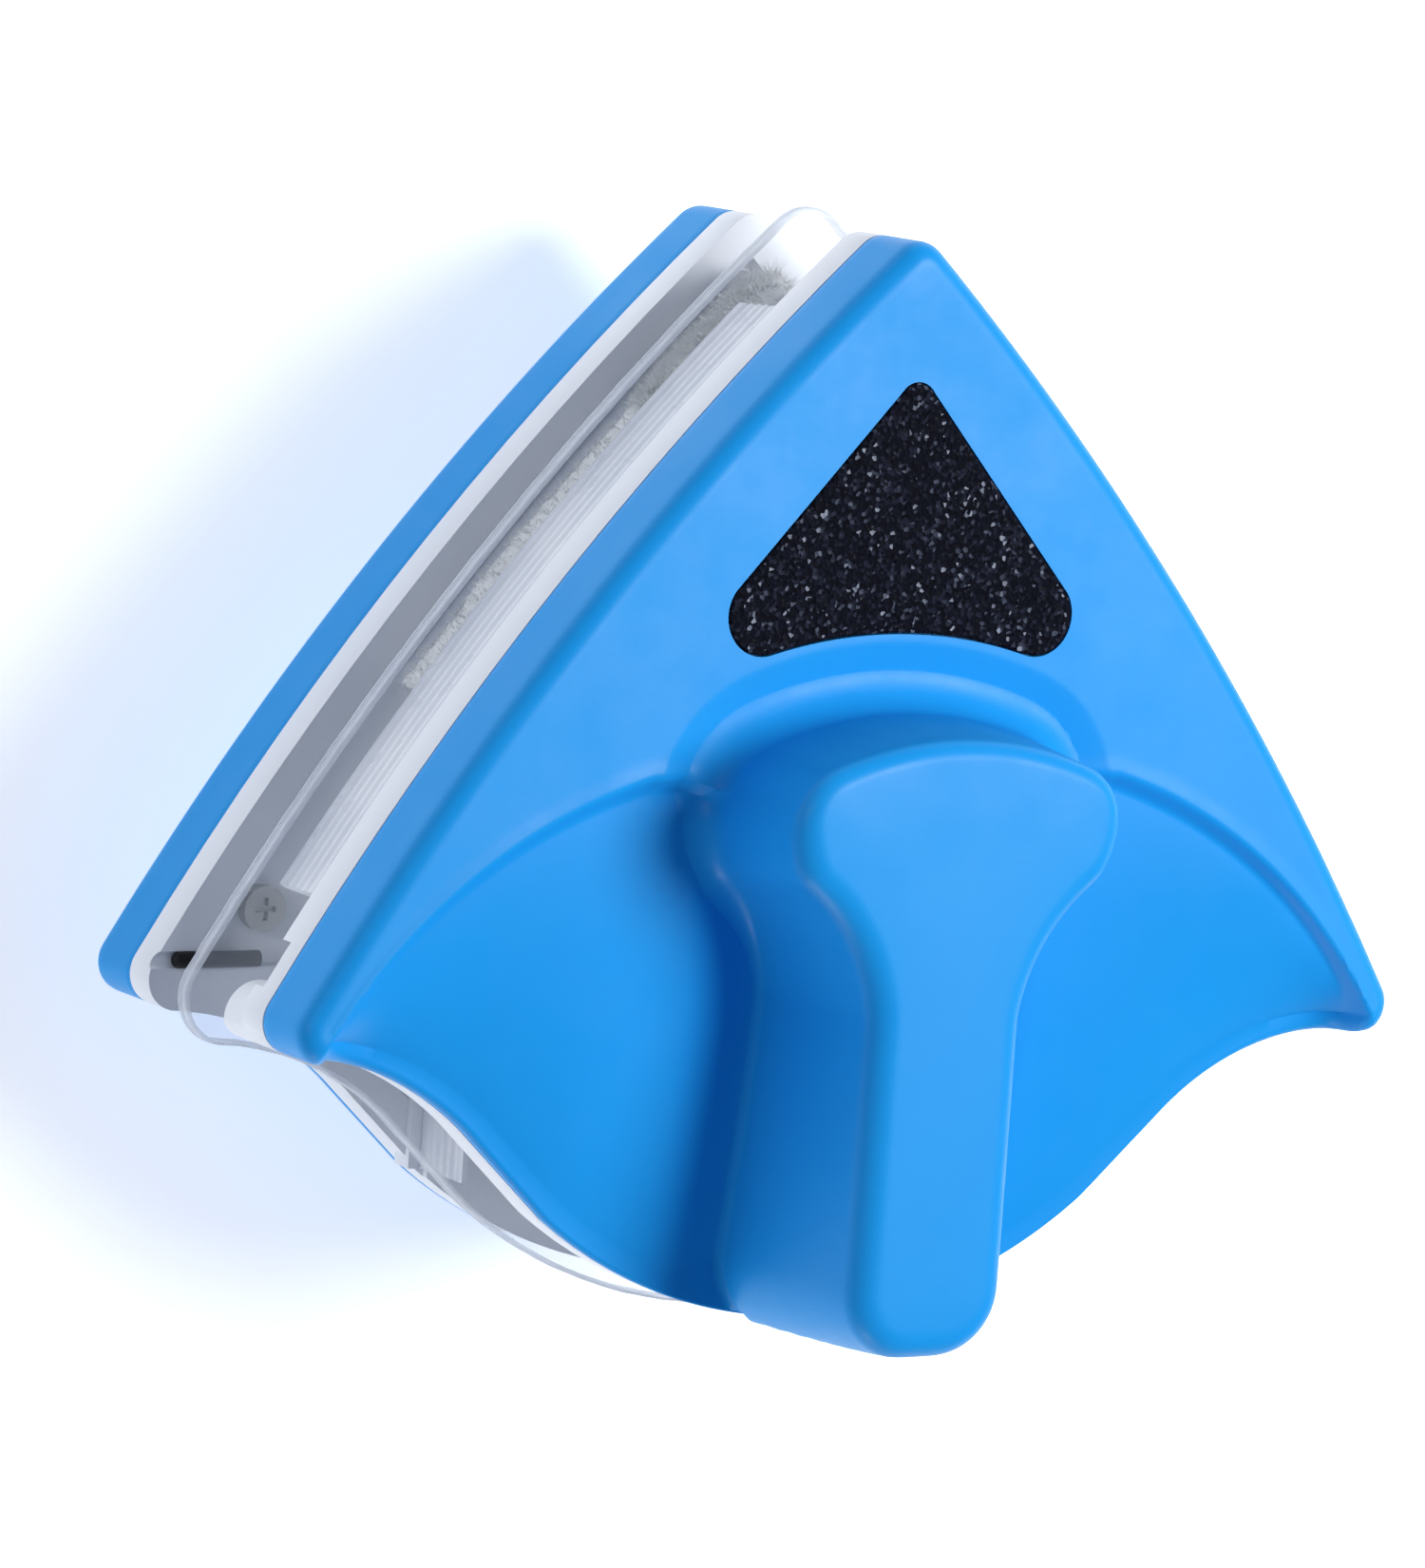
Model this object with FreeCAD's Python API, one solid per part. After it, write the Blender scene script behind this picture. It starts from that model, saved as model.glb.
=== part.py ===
import FreeCAD, Part
import math
import os

from FreeCAD import Vector

# Double-sided magnetic glass cleaner: two triangular halves, one for each side
# of the pane, stored face to face on a clear separator plate.
# Units are millimetres.  +X is along the width, +Y points to the apex, +Z runs
# through the glass from the rear half to the front half.
# Both halves are the same mouldings: the rear half is the front half turned
# half a turn about Y, so each piece is drawn once, in the half's own frame:
# x, y as above, h = 0 on the parting plane between the blue shell and the white
# base, h positive towards the grip and negative towards the glass.

# ---- outline, the same for shell and base ----
CORNER_X = 73.5            # centres of the lower corner rounds, on y = 0
APEX_Y = 89.6              # centre of the apex round
CORNER_R = 4.0
SIDE_BULGE = 4.0           # how far each long side bows outwards
LOWER_KNEE = (48.5, -15.5)     # where the hollow part of the lower edge ends
LOWER_HOLLOW = (60.5, -7.2)    # a point on the hollow part
LOWER_BELLY = (38.5, -25.0)    # where the full part of the lower edge starts
LOWER_Y = -38.4            # lowest point of the outline

# ---- heights ----
FACE_H = 10.6              # flat upper face of the shell
GRIP_H = 28.0              # top of the grip
HALF_GAP = 34.0            # between the two parting planes
WALL = 2.2
EDGE_ROUND = 2.5
FLOOR_T = 2.5              # base plate
RIM_H = 5.0                # rim of the base
RIM_W = 5.0
DECK_H = 6.0               # raised deck that carries pad and magnets
TIP_H = 15.6               # blade tips and pad faces
FOOT_H = 10.5              # corner foot

# ---- wings, the two hollows beside the grip ----
RIDGE_OUT = (74.6, -2.8)
RIDGE_MID = (57.5, 16.4)
RIDGE_IN = (33.0, 28.7)
WING_TOP = 9.2
WING_EDGE = 1.0
WING_POWER = 1.7
WING_REACH = (84.0, 82.0, -46.0, -44.0)    # half widths and lower ends of grid and plan
WING_STEP_X = 6.0
WING_STEP_Y = 4.0
VALLEY_DEPTH = 2.0
VALLEY_FROM = 26.0
VALLEY_WIDTH = 12.0

# ---- grip ----
HEAD_TOP = 36.4
HEAD_HALF = 23.0
HEAD_Y = 25.5
SHOULDER = (18.0, 33.0)
NECK_MID = (14.4, 12.4)
STEM_TOP_Y = 3.0
STEM_HALF = 10.8
STEM_END_Y = -38.3
STEM_R = 8.5
CHEEK_HIGH = (1.1, 4.1)    # inwards from the cheek, and up from it
CHEEK_LOW = (0.5, -3.4)
CHIN = (2.2, -6.6)
GRIP_SPREAD = 2.6          # how much wider the grip is at its foot
GRIP_FOOT_H = 1.5
GRIP_RIM_DROP = 0.7        # middle layer of the rounded rim
GRIP_RIM_IN = 0.75

# ---- black scrubbing inset ----
INSET_TOP = (0.0, 74.3, 2.7)       # x, y, radius of each rounded corner
INSET_LOBE = (19.4, 49.0, 5.0)
INSET_SAG = 2.6
INSET_DEEP = 1.5
INSET_PROUD = 0.3
INSET_GAP = 0.15

# ---- working side ----
BLADE_T = 2.0
BLADE_INSET = 0.8
BLADE_END_Y = 12.8
BLADE_TOP_Y = 84.0
BLADE_SEAT = 2.0
INNER_X = 38.5
INNER_LOW_Y = -24.2
INNER_TOP_Y = 30.0
INNER_T = 1.6
PAD_END_Y = 35.0
PAD_HALF = 35.5
PAD_LOW_Y = -24.0
PATCH_T = 0.8
MAGNETS = {"apex": (0.0, 60.0), "centre": (0.0, 33.0), "left": (-23.5, 8.0), "right": (23.5, 8.0)}
MAGNET_R = 10.0
MAGNET_T = 4.9
MAGNET_GAP = 0.1
YOKE_T = 1.2
SCREWS = [(0.0, 80.0), (-62.0, 8.0), (62.0, 8.0), (0.0, -26.0)]
SCREW_R = 1.5
HEAD_SCREW_R = 2.8
HEAD_SCREW_T = 1.9
SCREW_TIP_H = 5.0
SLOT_HALF = 1.4            # cross slot in the screw head
SLOT_W_HALF = 0.35
SLOT_DEEP = 0.9
BOSS_R = 3.4
PILOT_R = 1.2
PILOT_ROOF = 2.4           # wall left above the pilot hole
FOOT_R = 4.5
FOOT_IN = 1.0              # foot centre, inwards from the corner's centre
FOOT_Y = -1.5
LEDGE_X = 52.0             # solid ledge across both lower corners, level with the rim
LEDGE_Y = 1.2
SPIGOT_H = 2.5             # ring that locates the base inside the shell
SPIGOT_T = 1.5
SPIGOT_GAP = 0.3
SPIGOT_HALF = 52.0
SPIGOT_Y = (32.0, 87.0)
NOTCH_X = -59.5            # notch in the rim beside the corner foot
NOTCH_Y = (3.5, 8.7)
NOTCH_DEEP = 2.0
HOLDER_HALF = 2.4          # raised seat of the inner blade

# ---- separator plate ----
PLATE_T = 2.4
PLATE_OVER = 2.0
PLATE_ROUND = 0.6

# ---- black peg for a safety cord, on the rear half only ----
PEG_R = 1.0
PEG_ROUND = 0.8
PEG_Y = 2.2
PEG_OUT_X = -74.6
PEG_IN_X = -63.0
PEG_UP = 5.2               # above the rear half's parting plane

# ---- frame: origin under the middle of the whole object ----
OUTLINE_TOP = APEX_Y + CORNER_R
MID_Y = (OUTLINE_TOP + LOWER_Y) / 2
MID_Z = GRIP_H + HALF_GAP / 2

CLEAR = 0.05


def point(x, y, h=0.0):
    return Vector(x, y, h)


def arc(a, b, c):
    return Part.Arc(point(*a), point(*b), point(*c)).toShape()


def line(a, b):
    return Part.LineSegment(point(*a), point(*b)).toShape()


def side_arc_centre():
    """Centre of the right-hand side arc, which both end rounds touch."""
    length = math.hypot(CORNER_X, APEX_Y)
    radius = length ** 2 / (8 * SIDE_BULGE) + SIDE_BULGE / 2
    nx, ny = APEX_Y / length, CORNER_X / length
    reach = radius - SIDE_BULGE
    return CORNER_X / 2 - reach * nx, APEX_Y / 2 - reach * ny, radius


def touch(cx, cy, x, y, r):
    """Where the side arc leaves the round of radius r about x, y."""
    away = math.hypot(x - cx, y - cy)
    return x + r * (x - cx) / away, y + r * (y - cy) / away


def side_points():
    """Lower end, middle and upper end of the right-hand side arc."""
    cx, cy, radius = side_arc_centre()
    low = touch(cx, cy, CORNER_X, 0.0, CORNER_R)
    high = touch(cx, cy, 0.0, APEX_Y, CORNER_R)
    mx, my = CORNER_X / 2 - cx, APEX_Y / 2 - cy
    grow = (radius + CORNER_R) / math.hypot(mx, my)
    return low, (cx + mx * grow, cy + my * grow), high


def flip(p):
    return -p[0], p[1]


def outline():
    """Closed outline of a half, from arcs and two short straight runs."""
    low, mid, high = side_points()
    tip = CORNER_R * math.sqrt(0.5)
    corner_out = (CORNER_X + tip, -tip)
    corner_end = (CORNER_X, -CORNER_R)
    top = (0.0, OUTLINE_TOP)
    edges = [
        arc(high, top, flip(high)),
        arc(flip(high), flip(mid), flip(low)),
        arc(flip(low), flip(corner_out), flip(corner_end)),
        arc(flip(corner_end), flip(LOWER_HOLLOW), flip(LOWER_KNEE)),
        line(flip(LOWER_KNEE), flip(LOWER_BELLY)),
        arc(flip(LOWER_BELLY), (0.0, LOWER_Y), LOWER_BELLY),
        line(LOWER_BELLY, LOWER_KNEE),
        arc(LOWER_KNEE, LOWER_HOLLOW, corner_end),
        arc(corner_end, corner_out, low),
        arc(low, mid, high),
    ]
    return Part.Wire(edges)


def grown(offset):
    """The outline grown outwards by offset, or shrunk where it is negative."""
    if offset == 0:
        return outline()
    return outline().makeOffset2D(offset)


def prism(wire, low, high):
    """Solid between heights low and high on a flat wire."""
    face = Part.Face(wire)
    face.translate(Vector(0, 0, low))
    return face.extrude(Vector(0, 0, high - low))


def polygon(points):
    return Part.makePolygon([point(*p) for p in points + points[:1]])


def slab(x0, x1, y0, y1, low, high):
    return Part.makeBox(x1 - x0, y1 - y0, high - low, Vector(x0, y0, low))


def cylinder(x, y, radius, low, high):
    return Part.makeCylinder(radius, high - low, Vector(x, y, low))


def tidy(shape):
    """One clean solid, or a compound of clean solids."""
    shape = shape.removeSplitter()
    if len(shape.Solids) == 1:
        return shape.Solids[0]
    return Part.makeCompound(shape.Solids)


# ------------------------------------------------------------------ the shell

def smooth(t):
    t = min(max(t, 0.0), 1.0)
    return t * t * (3 - 2 * t)


def lower_edge_y(x):
    """Height in y of the outline's lower edge at |x|."""
    x = abs(x)
    if x >= CORNER_X:
        return -CORNER_R
    if x >= LOWER_KNEE[0]:
        t = (x - LOWER_KNEE[0]) / (CORNER_X - LOWER_KNEE[0])
        return LOWER_KNEE[1] + (-CORNER_R - LOWER_KNEE[1]) * math.sin(t * math.pi / 2) ** 0.9
    if x >= LOWER_BELLY[0]:
        t = (x - LOWER_BELLY[0]) / (LOWER_KNEE[0] - LOWER_BELLY[0])
        return LOWER_BELLY[1] + t * (LOWER_KNEE[1] - LOWER_BELLY[1])
    depth = LOWER_BELLY[1] - LOWER_Y
    radius = (LOWER_BELLY[0] ** 2 + depth ** 2) / (2 * depth)
    return LOWER_Y + radius - math.sqrt(radius ** 2 - x ** 2)


def ridge_circle():
    """Centre and radius of the circle through the three ridge points."""
    circle = Part.Arc(point(*RIDGE_OUT), point(*RIDGE_MID), point(*RIDGE_IN)).toShape().Curve
    return circle.Center.x, circle.Center.y, circle.Radius


def ridge_y(x):
    cx, cy, radius = ridge_circle()
    x = min(max(abs(x), RIDGE_IN[0]), RIDGE_OUT[0])
    return cy + math.sqrt(max(radius ** 2 - (x - cx) ** 2, 0.0))


def wing_height(x, y):
    """Height of the moulded hollow beside the grip."""
    top, low = ridge_y(x), lower_edge_y(x)
    run = max(top - low, 4.0)
    s = min(max((top - y) / run, 0.0), 1.12)
    height = WING_EDGE + (WING_TOP - WING_EDGE) * (1 - s ** WING_POWER)
    valley = smooth((VALLEY_FROM - abs(x)) / VALLEY_WIDTH)
    return max(height - VALLEY_DEPTH * valley * (1 - 0.6 * s), WING_EDGE)


def wing_cutter():
    """Everything above the wing surface, below the ridge line."""
    grid_x, plan_x, grid_low, plan_low = WING_REACH
    columns = [-grid_x + WING_STEP_X * i for i in range(29)]
    rows = [grid_low + WING_STEP_Y * j for j in range(21)]
    grid = [[Vector(x, y, wing_height(x, y)) for y in rows] for x in columns]
    surface = Part.BSplineSurface()
    surface.interpolate(grid)
    above = surface.toShape().extrude(Vector(0, 0, 40))
    inner, outer = RIDGE_IN, RIDGE_OUT
    side, corner = (plan_x, outer[1]), (plan_x, plan_low)
    plan = Part.Wire([
        arc(flip(outer), flip(RIDGE_MID), flip(inner)),
        line(flip(inner), inner),
        arc(inner, RIDGE_MID, outer),
        line(outer, side),
        line(side, corner),
        line(corner, flip(corner)),
        line(flip(corner), flip(side)),
        line(flip(side), flip(outer)),
    ])
    return above.common(prism(plan, -6, 36))


def grip_outline():
    """Top outline of the mushroom-shaped grip."""
    cheek = (HEAD_HALF, HEAD_Y)
    cheek_high = (HEAD_HALF - CHEEK_HIGH[0], HEAD_Y + CHEEK_HIGH[1])
    cheek_low = (HEAD_HALF - CHEEK_LOW[0], HEAD_Y + CHEEK_LOW[1])
    chin = (HEAD_HALF - CHIN[0], HEAD_Y + CHIN[1])
    stem_top = (STEM_HALF, STEM_TOP_Y)
    heel = (STEM_HALF, STEM_END_Y + STEM_R)
    heel_mid = (STEM_HALF - STEM_R * 0.29, STEM_END_Y + STEM_R * 0.29)
    sole = (STEM_HALF - STEM_R, STEM_END_Y)
    edges = [
        arc(flip(SHOULDER), (0.0, HEAD_TOP), SHOULDER),
        arc(SHOULDER, cheek_high, cheek),
        arc(cheek, cheek_low, chin),
        arc(chin, NECK_MID, stem_top),
        line(stem_top, heel),
        arc(heel, heel_mid, sole),
        line(sole, flip(sole)),
        arc(flip(sole), flip(heel_mid), flip(heel)),
        line(flip(heel), flip(stem_top)),
        arc(flip(stem_top), flip(NECK_MID), flip(chin)),
        arc(flip(chin), flip(cheek_low), flip(cheek)),
        arc(flip(cheek), flip(cheek_high), flip(SHOULDER)),
    ]
    return Part.Wire(edges)


def grip_body():
    """Grip with drafted sides and a rounded rim, cut level with the lower edge."""
    layers = [
        (GRIP_FOOT_H, GRIP_SPREAD),
        (GRIP_H - EDGE_ROUND, 0.0),
        (GRIP_H - GRIP_RIM_DROP, -GRIP_RIM_IN),
        (GRIP_H, -EDGE_ROUND),
    ]
    wires = []
    for height, offset in layers:
        wire = grip_outline() if offset == 0 else grip_outline().makeOffset2D(offset)
        wire.translate(Vector(0, 0, height))
        wires.append(wire)
    solid = Part.makeLoft(wires, True, True)
    return solid.common(slab(-60, 60, LOWER_Y, 60, 0, 40))


def inset_outline(gap):
    """Outline of the scrubbing inset, shrunk by gap."""
    tx, ty, tr = INSET_TOP
    lx, ly, lr = INSET_LOBE
    tr, lr = tr - gap, lr - gap
    run = math.hypot(lx - tx, ty - ly)
    lean = math.atan2(ty - ly, lx - tx) + math.asin((lr - tr) / run)
    nx, ny = math.sin(lean), math.cos(lean)
    top_touch = (tx + tr * nx, ty + tr * ny)
    side_touch = (lx + lr * nx, ly + lr * ny)
    lobe_out = (lx + lr * math.cos(-0.6), ly + lr * math.sin(-0.6))
    lobe_low = (lx - 0.25 * lr, ly - lr * 0.968)
    sag = (0.0, ly - lr * 0.968 + INSET_SAG)
    return Part.Wire([
        arc(flip(top_touch), (tx, ty + tr), top_touch),
        line(top_touch, side_touch),
        arc(side_touch, lobe_out, lobe_low),
        arc(lobe_low, sag, flip(lobe_low)),
        arc(flip(lobe_low), flip(lobe_out), flip(side_touch)),
        line(flip(side_touch), flip(top_touch)),
    ])


def shell():
    """Blue shell with its grip in one hollow moulding."""
    body = prism(outline(), 0, FACE_H)
    brim = [e for e in body.Edges if abs(e.CenterOfMass.z - FACE_H) < 0.01 and e.CenterOfMass.y > -1.5]
    body = body.makeFillet(EDGE_ROUND, brim)
    cutter = wing_cutter()
    body = body.cut(cutter)
    body = body.fuse(grip_body())
    hollow = prism(grown(-WALL), -1, FACE_H - WALL)
    lowered = cutter.copy()
    lowered.translate(Vector(0, 0, -WALL))
    hollow = hollow.cut(lowered)
    pocket_wire = grip_outline().makeOffset2D(-WALL)
    body = body.cut(hollow)
    body = body.cut(prism(pocket_wire, -1, GRIP_H - WALL))
    for x, y in SCREWS:
        roof = GRIP_H - WALL if abs(x) < STEM_HALF and y < HEAD_TOP else FACE_H - WALL
        boss = cylinder(x, y, BOSS_R, CLEAR, roof + 0.2)
        if abs(x) > VALLEY_FROM:
            boss = boss.cut(lowered)
            boss = boss.fuse(cylinder(x, y, BOSS_R, CLEAR, wing_height(x, y) - 1.0))
        body = body.fuse(boss)
    for x, y in SCREWS:
        body = body.cut(cylinder(x, y, PILOT_R, -1, FACE_H - WALL - PILOT_ROOF))
    body = body.cut(prism(inset_outline(0.0), FACE_H - INSET_DEEP, FACE_H + 5))
    return tidy(body)


def scrub_inset():
    return tidy(prism(inset_outline(INSET_GAP), FACE_H - INSET_DEEP + 0.02, FACE_H + INSET_PROUD))


# ------------------------------------------------------------------ the base

def pad_region(side_gap, shrink):
    """Plan of the cleaning pad: apex, right-hand edge and middle."""
    close = prism(grown(-side_gap - shrink), 0, 1)
    right = close.common(slab(0, 90, -60, 100, 0, 1))
    far = prism(grown(-side_gap - 2.5 - shrink), 0, 1)
    left = far.common(slab(-90, 0.5, -60, 100, 0, 1))
    low, half, end = PAD_LOW_Y + shrink, PAD_HALF - shrink, PAD_END_Y + shrink
    plan = polygon([
        (-half, -8.0 + shrink), (-22.0, low), (22.0, low), (half, -8.0 + shrink),
        (half, end), (80.0, end), (80.0, 100.0), (-80.0, 100.0), (-80.0, end), (-half, end),
    ])
    region = right.fuse(left).removeSplitter().common(prism(plan, 0, 1))
    face = [f for f in region.Faces if abs(f.CenterOfMass.z) < 1e-6]
    return face[0].OuterWire


def foot(x, y):
    """Rounded foot on the corner where the side blade ends."""
    inside = prism(outline(), -FOOT_H, -RIM_H)
    return inside.common(cylinder(x, y, FOOT_R, -FOOT_H, -RIM_H))


def blade_band(inset, thick, low, high):
    """Strip that follows the left-hand long side, inset from the outline."""
    band = prism(grown(-inset), low, high).cut(prism(grown(-inset - thick), low - 1, high + 1))
    return band.common(slab(-90, -2.5, BLADE_END_Y, BLADE_TOP_Y, low - 1, high + 1))


def base():
    """White base: floor, rim, magnet deck, blade seats and corner foot."""
    body = prism(outline(), -FLOOR_T, 0)
    rim = prism(outline(), -RIM_H, -FLOOR_T).cut(prism(grown(-RIM_W), -RIM_H - 1, 0))
    body = body.fuse(rim)
    body = body.fuse(prism(pad_region(5.5, 0.8), -DECK_H, -FLOOR_T))
    holder = slab(INNER_X - HOLDER_HALF, INNER_X + HOLDER_HALF, INNER_LOW_Y, INNER_TOP_Y, -DECK_H, -FLOOR_T)
    body = body.fuse(holder)
    corners = prism(outline(), -RIM_H, -FLOOR_T)
    body = body.fuse(corners.common(slab(-90, -LEDGE_X, -60, LEDGE_Y, -RIM_H, -FLOOR_T)))
    body = body.fuse(corners.common(slab(LEDGE_X, 90, -60, LEDGE_Y, -RIM_H, -FLOOR_T)))
    body = body.fuse(foot(FOOT_IN - CORNER_X, FOOT_Y))
    spigot = prism(grown(-WALL - SPIGOT_GAP), 0, SPIGOT_H)
    spigot = spigot.cut(prism(grown(-WALL - SPIGOT_GAP - SPIGOT_T), -1, SPIGOT_H + 1))
    body = body.fuse(spigot.common(slab(-SPIGOT_HALF, SPIGOT_HALF, *SPIGOT_Y, -1, SPIGOT_H + 1)))
    body = body.cut(slab(-90, NOTCH_X, *NOTCH_Y, -RIM_H - 1, -RIM_H + NOTCH_DEEP))
    groove = blade_band(BLADE_INSET - CLEAR, BLADE_T + 2 * CLEAR, -RIM_H - 1, -RIM_H + BLADE_SEAT)
    body = body.cut(groove)
    slot = slab(INNER_X - INNER_T / 2 - CLEAR, INNER_X + INNER_T / 2 + CLEAR,
                INNER_LOW_Y - 4, INNER_TOP_Y + 4, -DECK_H - 1, -DECK_H + BLADE_SEAT)
    body = body.cut(slot)
    for x, y in MAGNETS.values():
        body = body.cut(cylinder(x, y, MAGNET_R + MAGNET_GAP, -MAGNET_T - CLEAR, 1))
    for x, y in SCREWS:
        body = body.cut(cylinder(x, y, SCREW_R + 0.1, -DECK_H - 4, 4))
        body = body.cut(cylinder(x, y, HEAD_SCREW_R + 0.4, -DECK_H - 4, -FLOOR_T))
    return tidy(body)


def side_blade():
    """Clear squeegee blade along the left-hand side, seated in the rim."""
    return tidy(blade_band(BLADE_INSET, BLADE_T, -TIP_H, -RIM_H + BLADE_SEAT - CLEAR))


def inner_blade():
    """Second blade, upright, that runs out at the lower edge."""
    return slab(INNER_X - INNER_T / 2, INNER_X + INNER_T / 2, INNER_LOW_Y, INNER_TOP_Y,
                -TIP_H, -DECK_H + BLADE_SEAT - CLEAR)


def hook_patch():
    """Thin hook layer, bonded to the deck, that holds the pad."""
    return tidy(prism(pad_region(5.5, 0.8), -DECK_H - PATCH_T, -DECK_H - 0.02))


def cleaning_pad():
    """Soft white pad, a plain closed solid of the right size."""
    return tidy(prism(pad_region(3.2, 0.0), -TIP_H, -DECK_H - PATCH_T - 0.02))


def yoke():
    """Steel plate behind the magnets."""
    plan = polygon([(0.0, 73.0), (-14.0, 68.0), (-39.0, 12.0), (-36.0, -4.0),
                    (36.0, -4.0), (39.0, 12.0), (14.0, 68.0)])
    return tidy(prism(plan, 0.02, 0.02 + YOKE_T))


def magnet(x, y):
    return cylinder(x, y, MAGNET_R, -MAGNET_T, 0)


def screws():
    """Four self-tapping screws, as one group of separate solids."""
    group = []
    for x, y in SCREWS:
        top = -FLOOR_T - HEAD_SCREW_T
        head = cylinder(x, y, HEAD_SCREW_R, top, -FLOOR_T - 0.02)
        shank = cylinder(x, y, PILOT_R - 0.03, -FLOOR_T - 0.1, SCREW_TIP_H)
        cross = slab(x - SLOT_HALF, x + SLOT_HALF, y - SLOT_W_HALF, y + SLOT_W_HALF, top - 1, top + SLOT_DEEP)
        bar = slab(x - SLOT_W_HALF, x + SLOT_W_HALF, y - SLOT_HALF, y + SLOT_HALF, top - 1, top + SLOT_DEEP)
        group.append(tidy(head.fuse(shank).cut(cross).cut(bar)))
    return Part.makeCompound(group)


# ------------------------------------------------------------------ assembly

def to_front(shape):
    placed = shape.copy()
    placed.translate(Vector(0, -MID_Y, GRIP_H + HALF_GAP))
    return placed


def to_rear(shape):
    placed = to_front(shape)
    placed.rotate(Vector(0, 0, MID_Z), Vector(0, 1, 0), 180)
    return placed


def peg_rod(radius, outer_end):
    """Rod across the lower left corner of the rear half, in its real place."""
    start = Vector(outer_end, PEG_Y - MID_Y, GRIP_H + PEG_UP)
    return Part.makeCylinder(radius, PEG_IN_X - outer_end, start, Vector(1, 0, 0))


def cord_peg():
    """Black peg with a rounded outer end, where a safety cord is tied."""
    rod = peg_rod(PEG_R, PEG_OUT_X)
    end = [e for e in rod.Edges if abs(e.CenterOfMass.x - PEG_OUT_X) < 0.01]
    return rod.makeFillet(PEG_ROUND, end)


def separator():
    """Clear plate that keeps the two magnet sets apart in storage."""
    plate = prism(grown(PLATE_OVER), -PLATE_T / 2, PLATE_T / 2)
    edges = [e for e in plate.Edges if abs(abs(e.CenterOfMass.z) - PLATE_T / 2) < 0.01]
    plate = plate.makeFillet(PLATE_ROUND, edges)
    plate.translate(Vector(0, -MID_Y, MID_Z))
    return tidy(plate)


def half_pieces():
    """Every piece of one half, in the half's own frame."""
    pieces = {
        "shell": shell(),
        "scrub_inset": scrub_inset(),
        "base": base(),
        "side_blade": side_blade(),
        "inner_blade": inner_blade(),
        "hook_patch": hook_patch(),
        "cleaning_pad": cleaning_pad(),
        "yoke_plate": yoke(),
        "base_screws": screws(),
    }
    for name, (x, y) in MAGNETS.items():
        pieces["magnet_" + name] = magnet(x, y)
    return pieces


def main():
    os.makedirs("parts", exist_ok=True)
    nodes = {}
    for name, shape in half_pieces().items():
        nodes["front_" + name] = to_front(shape)
        nodes["rear_" + name] = to_rear(shape)
    bore = peg_rod(PEG_R + CLEAR, -CORNER_X - CORNER_R)
    bore.translate(Vector(CLEAR, 0, 0))
    nodes["rear_base"] = tidy(nodes["rear_base"].cut(bore))
    nodes["rear_cord_peg"] = cord_peg()
    nodes["separator_plate"] = separator()
    for name, shape in nodes.items():
        shape.exportStep("parts/" + name + ".step")
        box = shape.BoundBox
        print(f"{name:22s} solids {len(shape.Solids)} valid {shape.isValid()} volume {shape.Volume:9.1f}"
              f"  x {box.XMin:.1f} {box.XMax:.1f}  y {box.YMin:.1f} {box.YMax:.1f}"
              f"  z {box.ZMin:.1f} {box.ZMax:.1f}")


main()
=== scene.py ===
import bmesh
import bpy
import math
import numpy as np
from mathutils import Euler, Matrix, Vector, geometry


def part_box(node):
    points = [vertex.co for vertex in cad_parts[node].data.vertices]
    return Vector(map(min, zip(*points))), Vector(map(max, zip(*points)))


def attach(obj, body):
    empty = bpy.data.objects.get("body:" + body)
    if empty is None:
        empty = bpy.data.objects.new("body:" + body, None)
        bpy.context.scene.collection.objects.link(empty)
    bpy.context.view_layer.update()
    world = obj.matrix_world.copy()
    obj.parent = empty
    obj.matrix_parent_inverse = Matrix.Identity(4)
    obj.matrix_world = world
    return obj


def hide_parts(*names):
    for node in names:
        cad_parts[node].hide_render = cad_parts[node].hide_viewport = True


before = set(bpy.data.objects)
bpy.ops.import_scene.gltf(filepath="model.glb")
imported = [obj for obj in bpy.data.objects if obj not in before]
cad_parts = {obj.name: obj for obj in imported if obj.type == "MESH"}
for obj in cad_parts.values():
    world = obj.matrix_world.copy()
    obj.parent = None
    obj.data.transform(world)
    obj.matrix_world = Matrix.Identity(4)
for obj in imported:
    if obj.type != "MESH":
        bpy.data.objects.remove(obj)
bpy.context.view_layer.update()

# Lengths in this script are millimetres in a half's own frame, until place()
# turns them into metres in the shared frame.  In that frame h = 0 is the plane
# between the blue shell and the white base, and h grows towards the grip.
MM = 0.001

# ---- outline ----
CORNER_X, APEX_Y, CORNER_R = 73.5, 89.6, 4.0
SIDE_BULGE = 4.0
LOWER_KNEE = (48.5, -15.5)
LOWER_HOLLOW = (60.5, -7.2)
LOWER_BELLY = (38.5, -25.0)
LOWER_Y = -38.4
OUTLINE_TOP = APEX_Y + CORNER_R

# ---- shell ----
FACE_H = 10.6
GRIP_H = 28.0
WALL = 2.2
EDGE_ROUND = 2.6
FOOT_ROUND = 0.35
RIDGE_OUT, RIDGE_MID, RIDGE_IN = (74.6, -2.8), (57.5, 16.4), (33.0, 28.7)
RIDGE_SOFT = 1.25
WING_TOP, WING_EDGE, WING_POWER = 9.1, 1.0, 1.7
VALLEY_DEPTH, VALLEY_FROM, VALLEY_WIDTH = 2.6, 26.0, 12.0
VALLEY_FADE = 0.6          # share of the valley that is gone at the lower edge
LIP_RISE, LIP_WIDTH, LIP_FROM_X = 0.18, 1.2, 24
MOAT_DEPTH, MOAT_WIDTH = 1.5, 8.0
MOAT_FROM_Y, MOAT_RAMP = 24, 5
THINNEST = 0.15            # least height left of a body near the edge

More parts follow.
